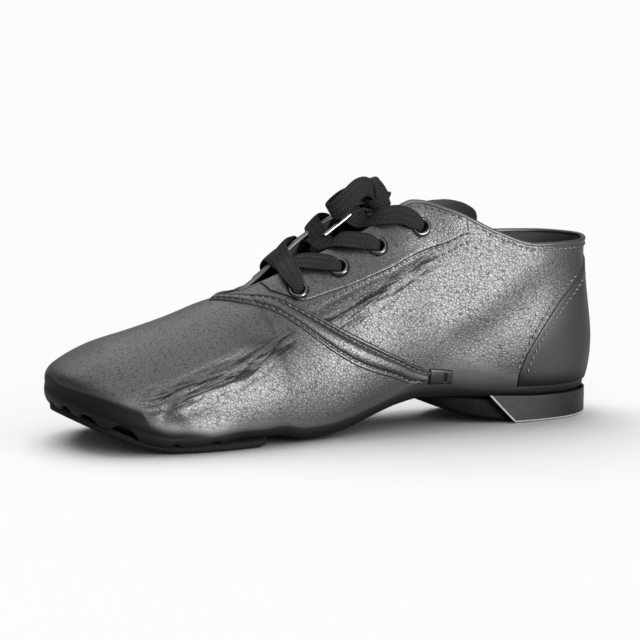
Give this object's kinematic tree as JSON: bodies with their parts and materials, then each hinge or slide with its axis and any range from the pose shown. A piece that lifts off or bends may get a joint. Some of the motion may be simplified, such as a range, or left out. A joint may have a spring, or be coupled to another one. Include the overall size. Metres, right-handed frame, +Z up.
{
  "type": "jazz boot",
  "caption": "Low lace-up jazz dance boot for the left foot, with a soft leather upper, split sole, low heel, tongue and flat laces tied in a bow.",
  "frame": {"origin": "Centre of the boot's outline, on the floor under the sole.", "axes": "+X towards the toe, +Y towards the outer (lateral) side, +Z up."},
  "size_m": [0.2496, 0.0822, 0.1075],
  "materials": {
    "black_leather": "satin",
    "black_rubber": "matte",
    "heel_wrap": "satin",
    "sock_lining": "matte",
    "tongue_leather": "satin",
    "panel_leather": "satin",
    "black_enamel": "gloss",
    "black_cotton": "matte"
  },
  "bodies": {
    "root": {"upper": "black_leather", "tongue": "tongue_leather", "insole": "sock_lining", "forefoot_sole": "black_rubber", "rear_sole": "black_rubber", "heel_cover": "heel_wrap", "vamp_band": "panel_leather", "heel_counter": "panel_leather", "eyestay_outer": "panel_leather", "eyestay_inner": "panel_leather", "band_tab_outer": "panel_leather", "band_tab_inner": "panel_leather", "eyelet_outer_1": "black_enamel", "eyelet_outer_2": "black_enamel", "eyelet_outer_3": "black_enamel", "eyelet_outer_4": "black_enamel", "eyelet_inner_1": "black_enamel", "eyelet_inner_2": "black_enamel", "eyelet_inner_3": "black_enamel", "eyelet_inner_4": "black_enamel", "lace_crossing_1": "black_cotton", "lace_crossing_2": "black_cotton", "lace_crossing_3": "black_cotton", "lace_knot": "black_cotton", "lace_loop_inner": "black_cotton", "lace_loop_outer": "black_cotton", "lace_end_front": "black_cotton", "lace_end_inner": "black_cotton"}
  },
  "joints": []
}
